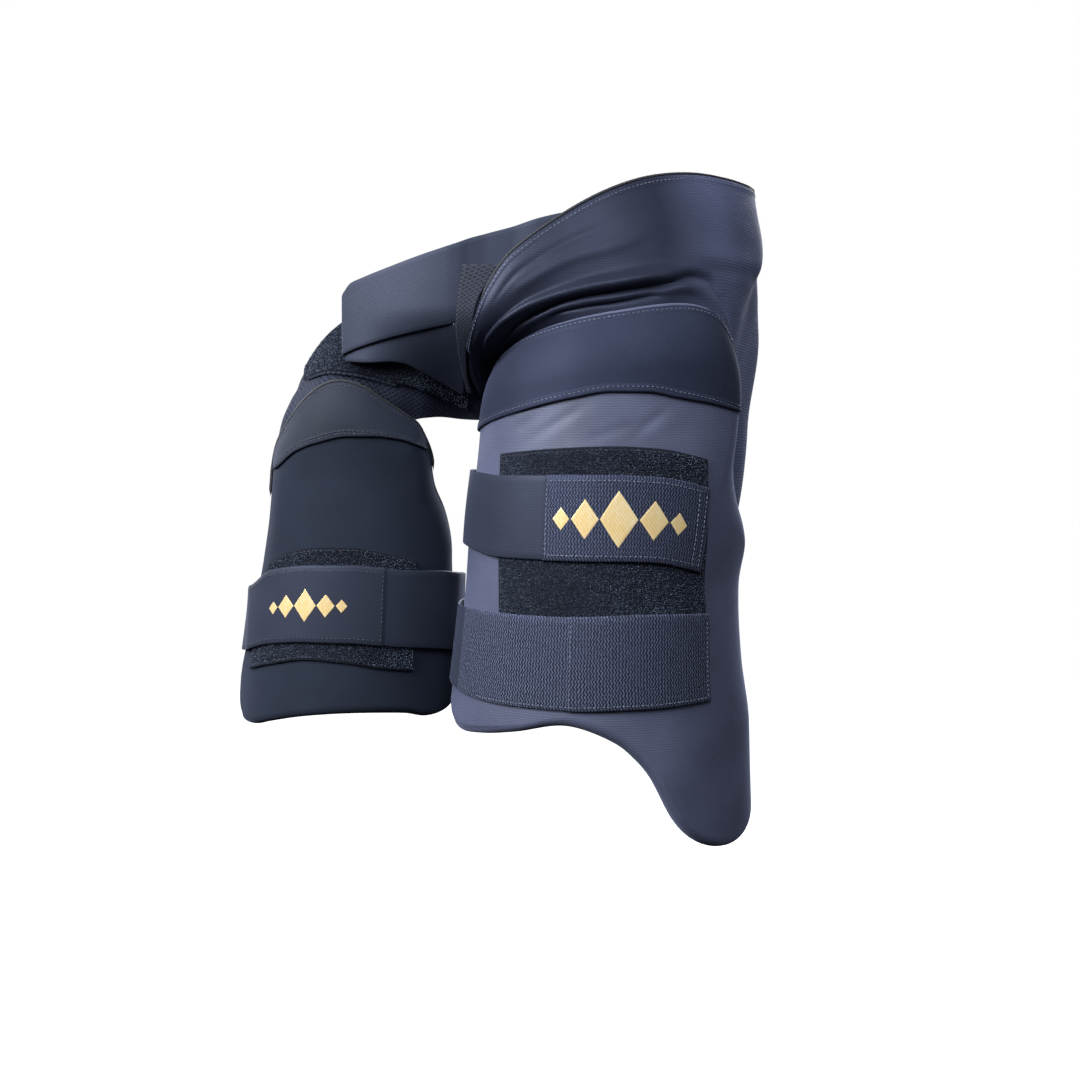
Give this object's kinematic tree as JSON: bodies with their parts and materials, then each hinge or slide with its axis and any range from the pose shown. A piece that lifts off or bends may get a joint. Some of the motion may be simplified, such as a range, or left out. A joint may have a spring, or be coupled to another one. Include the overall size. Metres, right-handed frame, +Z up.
{
  "type": "cricket thigh guard",
  "caption": "Cricket thigh guard in its worn form: a large padded shell for the outer thigh and a small one for the inner thigh, joined by a waist yoke and held by wide elastic straps.",
  "frame": {"origin": "centre of the waist opening, on the upright axis of the body, level with the upper edge of the folded waist strap's left end", "axes": "+Z up along the wearer's body, -Y the wearer's front, +X the wearer's left, where the large outer pad is"},
  "size_m": [0.4251, 0.2681, 0.5141],
  "materials": {
    "pad_cloth": "smooth stretch knit, slightly shiny",
    "inner_cloth": "matte brushed knit",
    "shiny_knit": "shiny ribbed stretch knit",
    "loop_pile": "fuzzy hook-and-loop pile",
    "elastic": "woven elastic with zigzag and lengthwise ribs",
    "air_mesh": "holed spacer mesh"
  },
  "bodies": {
    "root": {"outer_pad": "pad_cloth", "outer_cap_band": "shiny_knit", "outer_loop_patch": "loop_pile", "outer_upper_strap": "elastic", "outer_lower_strap": "elastic", "inner_pad": "inner_cloth", "inner_top_panel": "inner_cloth", "inner_loop_patch": "loop_pile", "inner_strap": "elastic", "hip_panel": "shiny_knit", "hip_lining": "air_mesh", "hip_binding": "loop_pile", "waist_mesh": "air_mesh", "waist_loop_band": "loop_pile", "waist_strap": "elastic", "waist_back_band": "elastic"}
  },
  "joints": []
}
